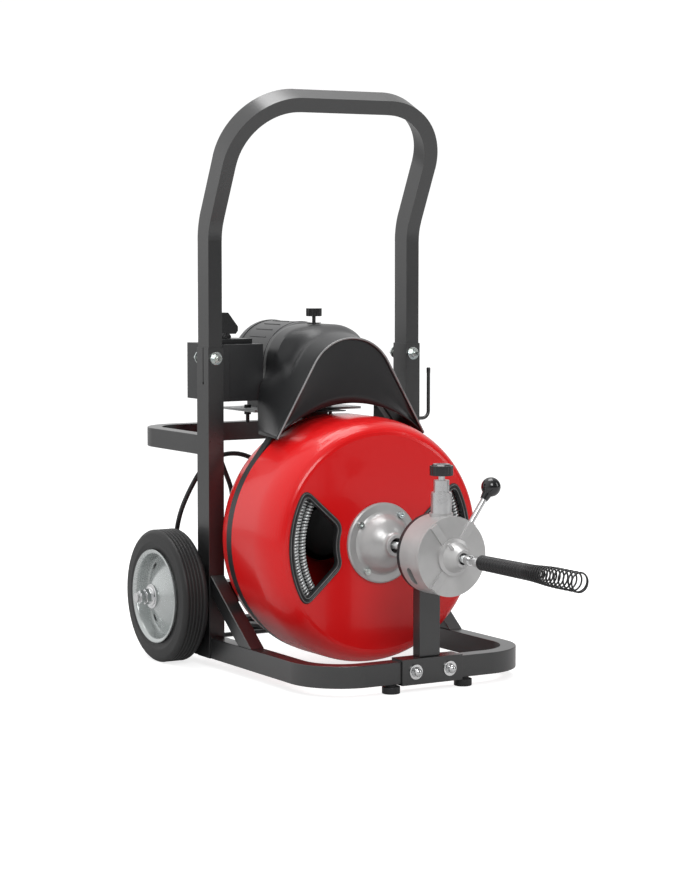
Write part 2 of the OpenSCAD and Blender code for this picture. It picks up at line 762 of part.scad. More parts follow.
module guard_knob() {
    color("#141415") place() translate([0, 8, 0]) {
        translate([0, 0, 543]) cylinder(r = 3, h = 30);
        translate([0, 0, 554.4]) cylinder(r = 12, h = 1.2);
        translate([0, 0, 566]) difference() {
            cylinder(r = 13, h = 13);
            for (a = [0:45:315]) rotate([0, 0, a]) translate([15, 0, -1]) cylinder(r = 4, h = 15);
        }
    }
}

module switch_box() {
    color("#2d2e31") place() difference() {
        union() {
            box(-hx + 13.8, -98, 4, 126, 430.5, 522.5);
            box(-hx + 13.8, -161, 2, 4, 430.5, 522.5);
        }
        box(-hx + 15.4, -99.6, 5.6, 124.4, 432, 521);
        translate([-146, 52, 515]) cylinder(r = 7, h = 12);
        translate([-140, 100, 425]) cylinder(r = 7, h = 12);
        cyl_x(70, 476, 5, -105, -90);
    }
}

module switch_plate() {
    color("#161617") place() difference() {
        union() {
            box(-172, -106, 26, 80, 522.5, 530.5);
            translate([-146, 52, 500]) cylinder(r = 7, h = 22.5);
        }
        translate([-146, 52, 495]) cylinder(r = 5 + run_gap, h = 40);
    }
}

module switch_lever() {
    color("#131314") place() translate([-146, 52, 0]) {
        translate([0, 0, 502]) cylinder(r = 5, h = 30);
        translate([0, 0, 531]) cylinder(r = 13, h = 4);
        translate([0, 0, 535]) cylinder(r1 = 13, r2 = 10, h = 4);
        translate([0, 7, 0]) rotate([90, 0, 0]) linear_extrude(14)
            polygon([[-24, 543], [-20, 538], [20, 538], [24, 543], [24, 550], [6, 573], [-6, 573], [-24, 550]]);
    }
}

cord_r = 4;
cord_pts = [[-140, 100, 402], [-139, 100, 376], [-132, 102, 346], [-118, 105, 314], [-102, 109, 278],
    [-94, 113, 242], [-78, 117, 208], [-44, 122, 189], [-6, 128, 200], [14, 134, 238], [6, 140, 278],
    [-22, 144, 310], [-62, 145, 330], [-104, 142, 330], [-140, 134, 312], [-166, 130, 280],
    [-184, 134, 238], [-187, 146, 192], [-178, 166, 140], [-160, 190, 90], [-132, 214, 50],
    [-98, 234, 20], [-62, 247, 6.5], [-28, 253, 4.2], [6, 255, 4.2], [26, 255.2, 4.2], [42, 255.2, 4.2]];
coil_x = 74;
coil_y = 312;
lead_a = 50;
plug_x = 146.4;
plug_y = 310;

module power_cord() {
    color("#111112") place() tube(route(cord_pts, 3), cord_r, 8);
}

module cord_coil() {
    color("#111112") place() {
        translate([coil_x, coil_y, 0]) rotate_extrude($fn = 96)
            polygon([[39, 0], [57, 0], [61, 4], [61, 13], [57, 17], [39, 17], [35, 13], [35, 4]]);
        translate([plug_x, plug_y, 10]) rotate([0, 0, lead_a]) rotate([0, -90, 0]) cylinder(r = cord_r, h = 40);
    }
}

module plug() {
    color("#151516") place() translate([plug_x, plug_y, 0]) rotate([0, 0, lead_a]) {
        box(8, 46, -14, 14, 0, 20);
        translate([0, 0, 10]) rotate([0, 90, 0]) cylinder(r1 = 5, r2 = 6.5, h = 9);
        for (s = [-1, 1]) box(46, 64, s * 6.3 - 0.8, s * 6.3 + 0.8, 7, 13);
    }
}

module cord_gland() {
    color("#161617") place() translate([-140, 100, 0]) difference() {
        union() {
            translate([0, 0, 424]) cylinder(r = 10, h = 6.5);
            translate([0, 0, 430.5]) cylinder(r = 7, h = 6);
            translate([0, 0, 404]) cylinder(r1 = 5.4, r2 = 8, h = 20);
        }
        translate([0, 0, 403]) cylinder(r = 4.1, h = 40);
    }
}

module cord_hook() {
    color("#161617") place() {
        cyl_x(19, 389, 3, frame_hw + 1.6, 220.6);
        translate([220.6, 19, 401]) rotate([90, 0, 0]) mirror([0, 1, 0])
            rotate_extrude(angle = 90, $fn = 64) translate([12, 0]) circle(r = 3, $fn = 32);
        translate([232.6, 19, 401]) cylinder(r = 3, h = 74);
        cyl_x(19, 389, 7, frame_hw + 1.6, frame_hw + 3.6);
    }
}

base_loop();
posts();
support_frame();
braces();
rear_loop();
handle();
handle_bolts();
axle_brackets();
axle();
axle_nuts();
tyre_left();
rim_left();
tyre_right();
rim_right();
front_sleeve();
sleeve_bolts();
front_post();
feet();
guide_backplate();
guide_body();
guide_cap();
lever_rod();
lever_ball();
feed_rollers();
guide_tube();
tension_bush();
tension_plunger();
tension_screw();
tension_knob();
drum_face();
drum_front();
drum_rear();
window_trims();
drum_hub();
hub_screws();
drum_shaft();
cable_coil();
cable_run();
cable_coupling();
auger_head();
bearing_housing();
drum_bearings();
drive_belt();
motor_pulley();
motor_shaft();
motor_body();
motor_cap();
motor_plate();
motor_bolts();
belt_guard();
guard_post();
guard_knob();
switch_box();
switch_plate();
switch_lever();
cord_gland();
power_cord();
cord_coil();
plug();
cord_hook();
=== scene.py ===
"""Looks of an upright drum type drain cleaning machine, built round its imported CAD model."""
import json
import math

import bmesh
import bpy
from mathutils import Matrix, Vector


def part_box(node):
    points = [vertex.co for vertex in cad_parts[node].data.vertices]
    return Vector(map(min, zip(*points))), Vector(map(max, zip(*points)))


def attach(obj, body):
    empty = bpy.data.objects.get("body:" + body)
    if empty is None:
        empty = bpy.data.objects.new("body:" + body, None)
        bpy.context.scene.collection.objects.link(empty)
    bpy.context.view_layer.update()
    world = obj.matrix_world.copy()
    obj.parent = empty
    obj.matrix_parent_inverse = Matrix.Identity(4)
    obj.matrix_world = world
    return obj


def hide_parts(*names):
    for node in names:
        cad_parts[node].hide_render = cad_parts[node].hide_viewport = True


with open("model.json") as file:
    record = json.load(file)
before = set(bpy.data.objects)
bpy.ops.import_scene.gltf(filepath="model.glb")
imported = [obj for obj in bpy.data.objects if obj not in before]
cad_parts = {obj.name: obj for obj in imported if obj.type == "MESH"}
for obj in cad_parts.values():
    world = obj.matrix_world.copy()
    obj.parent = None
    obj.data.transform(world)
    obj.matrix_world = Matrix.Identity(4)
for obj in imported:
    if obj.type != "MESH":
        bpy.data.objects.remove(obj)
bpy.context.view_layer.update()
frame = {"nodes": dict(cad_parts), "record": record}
MM = 0.001
TAU = 2 * math.pi

# The places that everything else is measured from, read from the CAD model's boxes.
POST_SKIN = 1.6 * MM
Y0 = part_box("posts")[0].y + POST_SKIN
DRUM_LOW, DRUM_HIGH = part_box("drum_front")
AXIS_Z = (DRUM_LOW.z + DRUM_HIGH.z) / 2 / MM
DRUM_FACE = (DRUM_LOW.y - Y0) / MM
FRAME_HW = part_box("base_loop")[1].x / MM
POST_HALF = 12.2
POST_X = FRAME_HW - POST_HALF
WHEEL_LOW, WHEEL_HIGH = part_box("tyre_right")
WHEEL_R = (WHEEL_HIGH.z - WHEEL_LOW.z) / 2 / MM
AXLE_Y = ((WHEEL_LOW.y + WHEEL_HIGH.y) / 2 - Y0) / MM


def at(x, y, z):
    """A point given in millimetres from the posts' front face, in the part's frame."""
    return Vector((x * MM, y * MM + Y0, z * MM))


# ---------------------------------------------------------------- camera
def make_camera():
    """The view from the front left, a little above the drum's axis."""
    data = bpy.data.cameras.new("photo_camera")
    data.sensor_width = 36
    data.lens = 96.5
    data.clip_end = 100
    camera = bpy.data.objects.new("photo_camera", data)
    camera.location = at(-1960.8, -3348.3, 676.6)
    camera.rotation_euler = (math.radians(85.373), 0, math.radians(-30.856))
    bpy.context.scene.collection.objects.link(camera)
    bpy.context.scene.camera = camera


make_camera()


# ---------------------------------------------------------------- materials
def node_maker(tree):
    """A function that adds a node to the tree and sets its inputs by name."""
    def make(kind, **inputs):
        node = tree.nodes.new(kind)
        for key, value in inputs.items():
            node.inputs[key.replace("_", " ")].default_value = value
        return node
    return make


def material(name, color, other, rough, metallic=0.0, coat=0.0, coat_rough=0.08, patch=9.0, grain=600.0,
             bump=0.12, depth=0.0001, stretch=(1, 1, 1), specular=0.5):
    """Two close colours in soft patches, roughness that varies, and a fine grain that can be stretched."""
    mat = bpy.data.materials.new(name)
    mat.use_nodes = True
    tree = mat.node_tree
    make, link = node_maker(tree), tree.links.new
    shader = tree.nodes["Principled BSDF"]
    shader.inputs["Metallic"].default_value = metallic
    shader.inputs["Coat Weight"].default_value = coat
    shader.inputs["Coat Roughness"].default_value = coat_rough
    shader.inputs["Specular IOR Level"].default_value = specular
    place = make("ShaderNodeTexCoord")
    cloud = make("ShaderNodeTexNoise", Scale=patch, Detail=4.0, Roughness=0.6)
    link(place.outputs["Object"], cloud.inputs["Vector"])
    shade = tree.nodes.new("ShaderNodeValToRGB")
    shade.color_ramp.elements[0].position = 0.3
    shade.color_ramp.elements[1].position = 0.7
    shade.color_ramp.elements[0].color = (*color, 1)
    shade.color_ramp.elements[1].color = (*other, 1)
    link(cloud.outputs["Fac"], shade.inputs["Fac"])
    link(shade.outputs["Color"], shader.inputs["Base Color"])
    shape = make("ShaderNodeMapping")
    shape.inputs["Scale"].default_value = stretch
    link(place.outputs["Object"], shape.inputs["Vector"])
    fine = make("ShaderNodeTexNoise", Scale=grain, Detail=3.0, Roughness=0.55)
    link(shape.outputs["Vector"], fine.inputs["Vector"])
    both = tree.nodes.new("ShaderNodeMix")
    both.inputs[0].default_value = 0.5
    link(cloud.outputs["Fac"], both.inputs[2])
    link(fine.outputs["Fac"], both.inputs[3])
    gloss = make("ShaderNodeMapRange")
    gloss.inputs["From Min"].default_value = 0.3
    gloss.inputs["From Max"].default_value = 0.7
    gloss.inputs["To Min"].default_value = rough[0]
    gloss.inputs["To Max"].default_value = rough[1]
    link(both.outputs[0], gloss.inputs["Value"])
    link(gloss.outputs["Result"], shader.inputs["Roughness"])
    relief = make("ShaderNodeBump", Strength=bump, Distance=depth)
    link(fine.outputs["Fac"], relief.inputs["Height"])
    link(relief.outputs["Normal"], shader.inputs["Normal"])
    return mat


M = {
    "frame_black": material("satin_black_paint", (0.009, 0.0092, 0.0098), (0.0115, 0.0118, 0.0124),
                            rough=(0.27, 0.33), grain=420, bump=0.1, depth=0.00012, specular=1.0),
    "zinc": material("bright_zinc", (0.50, 0.57, 0.60), (0.66, 0.68, 0.64), rough=(0.2, 0.34),
                     metallic=1.0, patch=60, grain=900),
    "chrome_steel": material("bright_nickel", (0.66, 0.67, 0.68), (0.76, 0.76, 0.76), rough=(0.1, 0.17),
                             metallic=1.0, patch=40, grain=700, bump=0.02),
    "steel": material("turned_steel", (0.56, 0.56, 0.57), (0.68, 0.68, 0.68), rough=(0.24, 0.34),
                      metallic=0.85, patch=30, grain=500, stretch=(1, 1, 9), bump=0.02),
    "spring_steel": material("spring_wire", (0.66, 0.68, 0.68), (0.8, 0.82, 0.82), rough=(0.34, 0.44),
                             metallic=0.8, patch=120, grain=900, bump=0.05),
    "tyre": material("tyre_rubber", (0.0135, 0.0135, 0.014), (0.018, 0.018, 0.018), rough=(0.44, 0.56),
                     grain=380, bump=0.25, depth=0.0002, specular=0.42),
    "rim": material("silver_paint", (0.47, 0.495, 0.49), (0.505, 0.53, 0.525), rough=(0.22, 0.3),
                    metallic=0.6, patch=7, grain=900, bump=0.06, coat=0.3, coat_rough=0.15),
    "rubber": material("soft_rubber", (0.012, 0.012, 0.013), (0.018, 0.018, 0.019), rough=(0.36, 0.5),
                       grain=500, bump=0.2),
    "cast_alu": material("blasted_casting", (0.45, 0.447, 0.445), (0.50, 0.497, 0.494), rough=(0.3, 0.4),
                         metallic=0.4, patch=30, grain=1300, bump=0.22, depth=0.00012, specular=0.6),
    "drum_red": material("gloss_red", (0.69, 0.008, 0.009), (0.705, 0.009, 0.0105), rough=(0.22, 0.27),
                         patch=5, grain=900, bump=0.015, depth=0.0001, coat=0.2, coat_rough=0.05,
                         specular=0.3),
    "black_plastic": material("satin_moulding", (0.0125, 0.013, 0.014), (0.016, 0.0165, 0.0175),
                              rough=(0.3, 0.37), grain=900, bump=0.12, depth=0.0001, specular=0.42),
    "knob_black": material("gloss_moulding", (0.01, 0.01, 0.011), (0.014, 0.014, 0.015),
                           rough=(0.14, 0.22), grain=500, bump=0.05, coat=0.3),
    "motor_grey": material("motor_paint", (0.019, 0.0195, 0.021), (0.024, 0.025, 0.026),
                           rough=(0.3, 0.38), grain=700, bump=0.15, depth=0.00015),
    "dark_steel": material("black_oxide", (0.01, 0.01, 0.011), (0.016, 0.016, 0.017),
                           rough=(0.28, 0.4), metallic=0.2, patch=50, grain=700, bump=0.15),
}
ALU_PLATE = material("mill_sheet", (0.36, 0.37, 0.375), (0.46, 0.465, 0.465), rough=(0.4, 0.52),
                     metallic=0.5, patch=26, grain=420, stretch=(9, 1, 1), bump=0.1)
# A lighter grey for thin lines along edges, used only as painted highlight.
PAINTED_EDGE_HIGHLIGHT = material("painted_edge_highlight", (0.15, 0.15, 0.152), (0.3, 0.3, 0.3), rough=(0.24, 0.34), patch=22,
                     grain=900)
SLOT_OF = {part["node"]: part["material_slot"] for part in frame["record"]["subparts"]}
BODY_OF = {node: body for body, nodes in frame["record"]["behaviour"]["bodies"].items() for node in nodes}


# ---------------------------------------------------------------- mesh tools
def declare(ob, node, replaces):
    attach(ob, BODY_OF[node])
    stands_for = [node] if replaces is None else replaces
    if stands_for:
        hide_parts(*stands_for)
    return ob


def place_mesh(bm, name, node, mats=None, angle=36, weighted=False, replaces=None):
    """Makes a piece of a bmesh. It rides on its CAD node's body, and stands for that node."""
    mesh = bpy.data.meshes.new(name)
    bmesh.ops.recalc_face_normals(bm, faces=bm.faces)
    bm.to_mesh(mesh)
    bm.free()
    for polygon in mesh.polygons:
        polygon.use_smooth = True
    mesh.set_sharp_from_angle(angle=math.radians(angle))
    ob = bpy.data.objects.new(name, mesh)
    bpy.context.scene.collection.objects.link(ob)
    for mat in mats or [M[SLOT_OF[node]]]:
        mesh.materials.append(mat)
    if weighted:
        fix = ob.modifiers.new("flat faces", "WEIGHTED_NORMAL")
        fix.keep_sharp = True
    return declare(ob, node, replaces)


def soften(node, width=0.8, segments=2, edge=32, add=None):
    """The CAD node with its hard edges rounded by width millimetres. add(bm) can add more to it."""
    bm = bmesh.new()
    bm.from_mesh(frame["nodes"][node].data)
    bmesh.ops.remove_doubles(bm, verts=bm.verts, dist=2e-6)
    bmesh.ops.dissolve_limit(bm, angle_limit=math.radians(0.6), verts=bm.verts, edges=bm.edges,
                             use_dissolve_boundaries=False, delimit=set())
    hard = [e for e in bm.edges if e.is_manifold and e.calc_face_angle(0) > math.radians(edge)]
    bmesh.ops.bevel(bm, geom=hard, offset=width * MM, segments=segments, profile=0.5,
                    affect="EDGES", clamp_overlap=True)
    if add:
        add(bm)
    return place_mesh(bm, node + "_look", node, angle=40, weighted=True)


def basis(origin, axis):
    """A matrix that takes local +Z along axis from origin, both in the part's frame."""
    return Matrix.Translation(origin) @ Vector(axis).to_track_quat("Z", "Y").to_matrix().to_4x4()


def turned(r, a, z):
    """A point in metres at the angle a about local Z, from a radius and a height in millimetres."""
    return Vector((r * MM * math.cos(a), r * MM * math.sin(a), z * MM))


def join_rows(bm, rows, closed):
    """Faces between neighbouring rows of points. Closed rows come round to their first point."""
    for low, high in zip(rows, rows[1:]):
        for k in range(len(low) if closed else len(low) - 1):
            following = (k + 1) % len(low)
            bm.faces.new((low[k], low[following], high[following], high[k]))


def lathe(bm, profile, matrix, steps=64, radius=None):
    """Turns (radius, height) points in millimetres about local Z. radius(r, z, turn) can reshape it.
    A profile that comes back to its first point makes a closed ring."""
    rows = []
    for r, z in profile:
        row = []
        for k in range(steps):
            a = TAU * k / steps
            rr = radius(r, z, a) if radius else r
            row.append(bm.verts.new(matrix @ turned(rr, a, z)))
        rows.append(row)
    join_rows(bm, rows, closed=True)
    if math.dist(profile[0], profile[-1]) < 0.001:
        bmesh.ops.remove_doubles(bm, verts=rows[0] + rows[-1], dist=0.00001)
        return
    for row, (r, z) in ((rows[0], profile[0]), (rows[-1], profile[-1])):
        if r < 0.02:
            bmesh.ops.remove_doubles(bm, verts=row, dist=0.0001)


def smooth_step(x):
    """Rises smoothly from 0 to 1 while x goes from 0 to 1."""
    x = min(1.0, max(0.0, x))
    return x * x * (3 - 2 * x)


def arc(cx, cy, r, a0, a1, n, ry=None):
    """Points on a circle or an ellipse, angles in degrees."""
    return [(cx + r * math.cos(math.radians(a0 + (a1 - a0) * i / n)),
             cy + (ry or r) * math.sin(math.radians(a0 + (a1 - a0) * i / n))) for i in range(n + 1)]


def hexagon(flat):
    """A radius function for lathe(), which makes a round profile a hexagon of that inner radius."""
    def reshape(r, z, a):
        if r < flat * 0.9:
            return r
        turn = (a + math.pi / 6) % (math.pi / 3) - math.pi / 6
        return min(flat / math.cos(turn), r)
    return reshape


def nut(bm, matrix, flat, height, bore):
    """A hexagon with both faces chamfered at the corners, so that each side ends in an arc."""
    corner = flat / math.cos(math.pi / 6)
    drop = (corner - flat) * 0.62
    steps = 6
    rim = [(flat + (corner - flat) * i / steps, height - drop * i / steps) for i in range(steps + 1)]
    low = [(r, height - z) for r, z in rim]
    face = flat * 0.96
    profile = [(bore, 0.0), (face, 0.0)] + low + rim[::-1] + [(face, height), (bore, height), (bore, 0.0)]
    lathe(bm, profile, matrix, 72, hexagon(flat))


def thread(bm, matrix, r, z0, z1, pitch, depth, steps):
    """A threaded end as one helical ridge, from z0 to z1, with its last turn chamfered."""
    rows = []
    count = int((z1 - z0) / pitch * 4)
    for i in range(count + 1):
        z = z0 + (z1 - z0) * i / count
        row = []
        for k in range(steps):
            a = TAU * k / steps
            phase = (z - z0) / pitch - k / steps
            ridge = abs((phase % 1.0) * 2 - 1)
            fade = min(1.0, (z1 - z) / pitch)
            rr = r - depth * ridge * fade - 0.45 * pitch * (1 - fade)
            row.append(bm.verts.new(matrix @ turned(rr, a, z)))
        rows.append(row)
    join_rows(bm, rows, closed=True)
    bm.faces.new(rows[-1])
    bm.faces.new(rows[0][::-1])


def curve_piece(name, lines, radius, node, replaces=None, mat=None, sides=2, cyclic=False):
    """Round wires along lines of points in the part's frame."""
    data = bpy.data.curves.new(name, "CURVE")
    data.dimensions = "3D"
    data.bevel_depth = radius * MM
    data.bevel_resolution = sides
    data.use_fill_caps = not cyclic
    for places in lines:
        line = data.splines.new("POLY")
        line.points.add(len(places) - 1)
        line.use_cyclic_u = cyclic
        for point, place in zip(line.points, places):
            point.co = (*place, 1)
    ob = bpy.data.objects.new(name, data)
    bpy.context.scene.collection.objects.link(ob)
    data.materials.append(mat or M[SLOT_OF[node]])
    return declare(ob, node, replaces)


def catmull(p, i, t):
    """The point at the share t between points i and i + 1 of a smooth curve through all of them."""
    a, b, c, d = p[max(i - 1, 0)], p[i], p[i + 1], p[min(i + 2, len(p) - 1)]
    return 0.5 * ((2 * b) + (c - a) * t + (2 * a - 5 * b + 4 * c - d) * t * t
                  + (3 * b - a - 3 * c + d) * t * t * t)


def smooth_line(points, n):
    """A smooth curve through the points, in n pieces between each two of them."""
    return [catmull(points, i, j / n) for i in range(len(points) - 1) for j in range(n)] + [points[-1]]


# ---------------------------------------------------------------- mains cord
CORD_R = 4.0
CORD_ROUTE = [
    (-140, 100, 402), (-139, 100, 376), (-132, 102, 346), (-118, 105, 314), (-102, 109, 278),
    (-94, 113, 242), (-78, 117, 208), (-44, 122, 189), (-6, 128, 200), (14, 134, 238), (6, 140, 278),
    (-22, 144, 310), (-62, 145, 330), (-104, 142, 330), (-140, 134, 312), (-166, 130, 280),
    (-184, 134, 238), (-187, 146, 192), (-178, 166, 140), (-160, 190, 90), (-132, 214, 50),
    (-98, 234, 20), (-62, 247, 6.5), (-28, 253, 4.2), (6, 255, 4.2), (26, 255.2, 4.2), (42, 255.2, 4.2)]
COIL_X, COIL_Y = 74, 312
COIL_TURNS = (56.8, 48.2, 39.6, 39.6, 48.2, 56.8)
LEAD_ANGLE = 50
PLUG_X, PLUG_Y = 146.4, 310
LOW_LAYER, HIGH_LAYER = 4.2, 12.9


def coil_points():
    """Six turns in two layers, from the place where the cord meets the coil to the plug's side."""
    steps = 40
    start = math.radians(-90)
    points = []
    for turn, r in enumerate(COIL_TURNS):
        following = COIL_TURNS[min(turn + 1, len(COIL_TURNS) - 1)]
        low = LOW_LAYER if turn < 3 else HIGH_LAYER
        high = HIGH_LAYER if turn >= 2 else LOW_LAYER
        for k in range(steps):
            share = k / steps
            blend = smooth_step((share - 0.6) / 0.4)
            rr = r + (following - r) * blend
            a = start + TAU * (turn + share)
            z = low + (high - low) * blend
            points.append(at(COIL_X + rr * math.cos(a), COIL_Y + rr * math.sin(a), z))
    leave = math.radians(LEAD_ANGLE)
    for k in range(6):
        a = start + leave * k / 5
        z = HIGH_LAYER - 0.3 * k
        points.append(at(COIL_X + COIL_TURNS[-1] * math.cos(a), COIL_Y + COIL_TURNS[-1] * math.sin(a), z))
    for back in (34, 22, 10, 1):
        points.append(at(PLUG_X - back * math.cos(leave), PLUG_Y - back * math.sin(leave), 10 + back / 30))
    return points


def make_cord():
    """The mains cord from its gland to the plug, with the unseen length coiled on the floor behind."""
    points = smooth_line([at(*p) for p in CORD_ROUTE], 6) + coil_points()
    plug = soften("plug", 1.6)
    cord = curve_piece("power_cord_line", [points], CORD_R, "power_cord",
                       replaces=["power_cord", "cord_coil"], sides=4)


make_cord()


# ---------------------------------------------------------------- spring cable and boring head
def helix(path, radius, pitch, steps):
    """Wire round a path: its points at radius(share) millimetres from it, one turn each pitch(share)."""
    turn = 0.0
    lengths = [0.0]
    for a, b in zip(path, path[1:]):
        lengths.append(lengths[-1] + (b - a).length / MM)
    total = lengths[-1]
    points, travelled, index = [], 0.0, 0
    up = Vector((0.15, 1, 0.1))
    while travelled < total:
        while lengths[index + 1] < travelled:
            index += 1
        share = (travelled - lengths[index]) / (lengths[index + 1] - lengths[index])
        centre = path[index].lerp(path[index + 1], share)
        along = (path[index + 1] - path[index]).normalized()
        side = (up - along * up.dot(along)).normalized()
        up = side
        other = along.cross(side)
        r = radius(travelled / total) * MM
        points.append(centre + side * (r * math.cos(turn)) + other * (r * math.sin(turn)))
        turn += TAU / steps
        travelled += pitch(travelled / total) / steps
    return points


CABLE_R = 6.3
WIRE_R = 2.05
COIL_PITCH, RUN_PITCH = 5.1, 4.0
COIL_OUT = (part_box("cable_coil")[1].x / MM) - CABLE_R
COIL_FRONT = (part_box("cable_coil")[0].y - Y0) / MM + CABLE_R
COIL_STEP = 12.8
COIL_LAYERS, COIL_COLUMNS = 4, 7


def make_coil():
    """The turns that the windows show are real springs, and the ones behind them are plain dark rings:
    painted shade for steel deep in the drum, with a dark core as painted shade inside the front springs.
    """
    count = 180
    springs = []
    for layer in range(COIL_LAYERS):
        r = COIL_OUT - layer * COIL_STEP
        ring = [at(r * math.cos(TAU * k / count), COIL_FRONT, AXIS_Z + r * math.sin(TAU * k / count))
                for k in range(count + 1)]
        springs.append(helix(ring, lambda t: CABLE_R - WIRE_R, lambda t: COIL_PITCH, 9))
    curve_piece("coil_front_turns", springs, WIRE_R, "cable_coil", replaces=[], sides=1, cyclic=True)
    # Plain rings and cores in dark steel: painted shade inside the drum and inside the open front springs.
    bm = bmesh.new()
    for layer in range(COIL_LAYERS):
        for column in range(COIL_COLUMNS):
            core = CABLE_R - WIRE_R if column == 0 else CABLE_R
            r = COIL_OUT - layer * COIL_STEP
            profile = [(r + core * math.cos(TAU * k / 8), column * COIL_STEP + core * math.sin(TAU * k / 8))
                       for k in range(9)]
            lathe(bm, profile, basis(at(0, COIL_FRONT, AXIS_Z), (0, 1, 0)), 72)
    place_mesh(bm, "coil_inner_turns", "cable_coil", mats=[M["dark_steel"]])


def make_cable():
    """The run from the guide: straight along the drum's axis, then a bend up to the coil."""
    front, bend_y, bend_r = -446, -140, 60
    path = [at(0, front + 2 * k, AXIS_Z) for k in range(154)]
    for degrees in range(3, 90, 3):
        a = math.radians(degrees)
        path.append(at(0, bend_y + bend_r * math.sin(a), AXIS_Z + bend_r - bend_r * math.cos(a)))
    path += [at(0, bend_y + bend_r, AXIS_Z + bend_r + 2 * k) for k in range(43)]
    points = helix(path, lambda t: CABLE_R - WIRE_R, lambda t: RUN_PITCH, 10)
    curve_piece("cable_run_spring", [points], WIRE_R, "cable_run", sides=1)


def make_auger():
    """Close wound behind, flared and open in front, and closed with a round ring at the tip."""
    wire = 1.35
    back, tip = -484.5, (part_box("auger_head")[0].y - Y0) / MM + wire
    path = [at(0, back + (tip - back) * k / 200, AXIS_Z) for k in range(201)]
    close = 0.48
    narrow, middle, wide = 10.1, 11.0, 14.0

    def radius(t):
        if t < close:
            return narrow + (middle - narrow) * t / close
        return middle + (wide - middle) * smooth_step((t - close) / 0.3)

    def pitch(t):
        open_share = max(0.0, (t - close) / (1 - close))
        return 2.55 + 10.5 * open_share ** 0.8

    points = helix(path, radius, pitch, 20)
    last = points[-1]
    start = math.atan2(last.z - AXIS_Z * MM, last.x)
    before = points[-2]
    swept = before.x * last.z - before.z * last.x + AXIS_Z * MM * (last.x - before.x)
    direction = 1 if swept > 0 else -1
    for k in range(1, 23):
        a = start + direction * TAU * k / 22
        points.append(at(wide * math.cos(a), tip, AXIS_Z + wide * math.sin(a)))
    curve_piece("auger_spring", [points], wire, "auger_head", sides=2)


make_coil()
make_cable()
make_auger()


# ---------------------------------------------------------------- drum windows
def window_outline(o, fine=2):
    """The window's outline, o millimetres outside its own edge, as in the drum's face."""
    r0, r1 = 82 - o, 163 + o
    h0, h1 = math.radians(22 + o * 0.6), math.radians(32 + o * 0.4)
    corner = 13 + o * 0.8
    k0, k1 = corner / r0, corner / r1

    def pol(r, a):
        return Vector((r * math.cos(a), r * math.sin(a)))

    def sweep(r, a0, a1, n):
        return [pol(r, a0 + (a1 - a0) * i / n) for i in range(n + 1)]

    def bend(p, a, b, n):
        shares = [i / n for i in range(n + 1)]
        return [a * (1 - t) ** 2 + p * (2 * t * (1 - t)) + b * t ** 2 for t in shares]

    step = corner / (pol(r1, h1) - pol(r0, h0)).length
    outer, inner = pol(r1, h1), pol(r0, h0)
    top = (sweep(r1, 0, h1 - k1, 7 * fine)
           + bend(outer, pol(r1, h1 - k1), outer + (inner - outer) * step, 6 * fine)[1:]
           + bend(inner, inner + (outer - inner) * step, pol(r0, h0 - k0), 6 * fine)
           + sweep(r0, h0 - k0, 0, 4 * fine)[1:])
    return top + [Vector((p.x, -p.y)) for p in reversed(top[1:-1])]


def make_trims():
    """A rubber moulding round each window: an inner bead, a groove, and a broad outer lip, with thin lighter
    lines along the bead and the lip as painted highlights.
    """
    bm = bmesh.new()
    section = [(-3.5, -7), (-3.5, 1.6), (-3.1, 2.7), (-2.2, 3.3), (-1.3, 2.9), (-0.8, 1.9), (-0.2, 1.5),
               (0.5, 1.8), (1.2, 2.7), (2.4, 3.2), (3.6, 2.9), (4.6, 1.9), (5.0, 0.0), (3.0, -0.1)]
    for side in (1, -1):
        rows = []
        for offset, height in section:
            rows.append([bm.verts.new(at(side * p.x, DRUM_FACE - height, AXIS_Z + side * p.y))
                         for p in window_outline(offset)])
        join_rows(bm, rows, closed=True)
    place_mesh(bm, "window_mouldings", "window_trims", angle=70)
    # Thin lighter lines on each moulding's inner bead and outer lip: painted highlights.
    for side, name in ((1, "right"), (-1, "left")):
        for offset, height, radius, lip in ((-2.2, 3.2, 0.45, "inner"), (3.0, 3.1, 0.35, "outer")):
            line = [at(side * p.x, DRUM_FACE - height, AXIS_Z + side * p.y) for p in window_outline(offset)]
            curve_piece("moulding_%s_edge_%s" % (lip, name), [line], radius, "window_trims", replaces=[],
                        mat=PAINTED_EDGE_HIGHLIGHT, sides=2, cyclic=True)


make_trims()


# ---------------------------------------------------------------- belt guard
GUARD_FRONT, GUARD_CREASE, GUARD_SIDE_END, GUARD_BACK = -112, -20, -4, 22
GUARD_CLEAR, LIP_START, LIP_SWEEP = 216, 130.4, 80.8
GUARD_COLUMNS, GUARD_BODY_ROWS, GUARD_BACK_ROWS, GUARD_LIP_ROWS = 72, 15, 4, 7
GUARD_FOOT = 376.5


def along(points, t):
    """The point at the share t of a polyline's length."""
    lengths = [(b - a).length for a, b in zip(points, points[1:])]
    left = t * sum(lengths)
    for a, b, length in zip(points, points[1:], lengths):
        if left <= length:
            return a.lerp(b, left / length)
        left -= length
    return points[-1].copy()


def guard_outlines():
    """The outline at the front edge, behind the sides, and over the belt's dome, left foot to right foot."""
    crown = [Vector(p) for p in arc(0, 454, 80, 150, 30, 40)]
    front = [Vector((-137.6, GUARD_FOOT))] + crown + [Vector((137.6, GUARD_FOOT))]
    half = [(-111, GUARD_FOOT), (-112, 425), (-108, 450), (-99, 480), (-86, 510), (-62, 537), (-30, 550),
            (0, 553)]
    hood = smooth_line([Vector(p) for p in half + [(-x, z) for x, z in reversed(half[:-1])]], 6)
    dome = [Vector((-88, GUARD_FOOT))]
    for i in range(41):
        a = math.pi * (1 - i / 40)
        c, q = math.cos(a), math.sin(a)
        dome.append(Vector((88 * math.copysign(abs(c) ** 0.78, c), 478 + 76 * max(0.0, q) ** 0.78)))
    dome.append(Vector((88, GUARD_FOOT)))
    return front, hood, dome


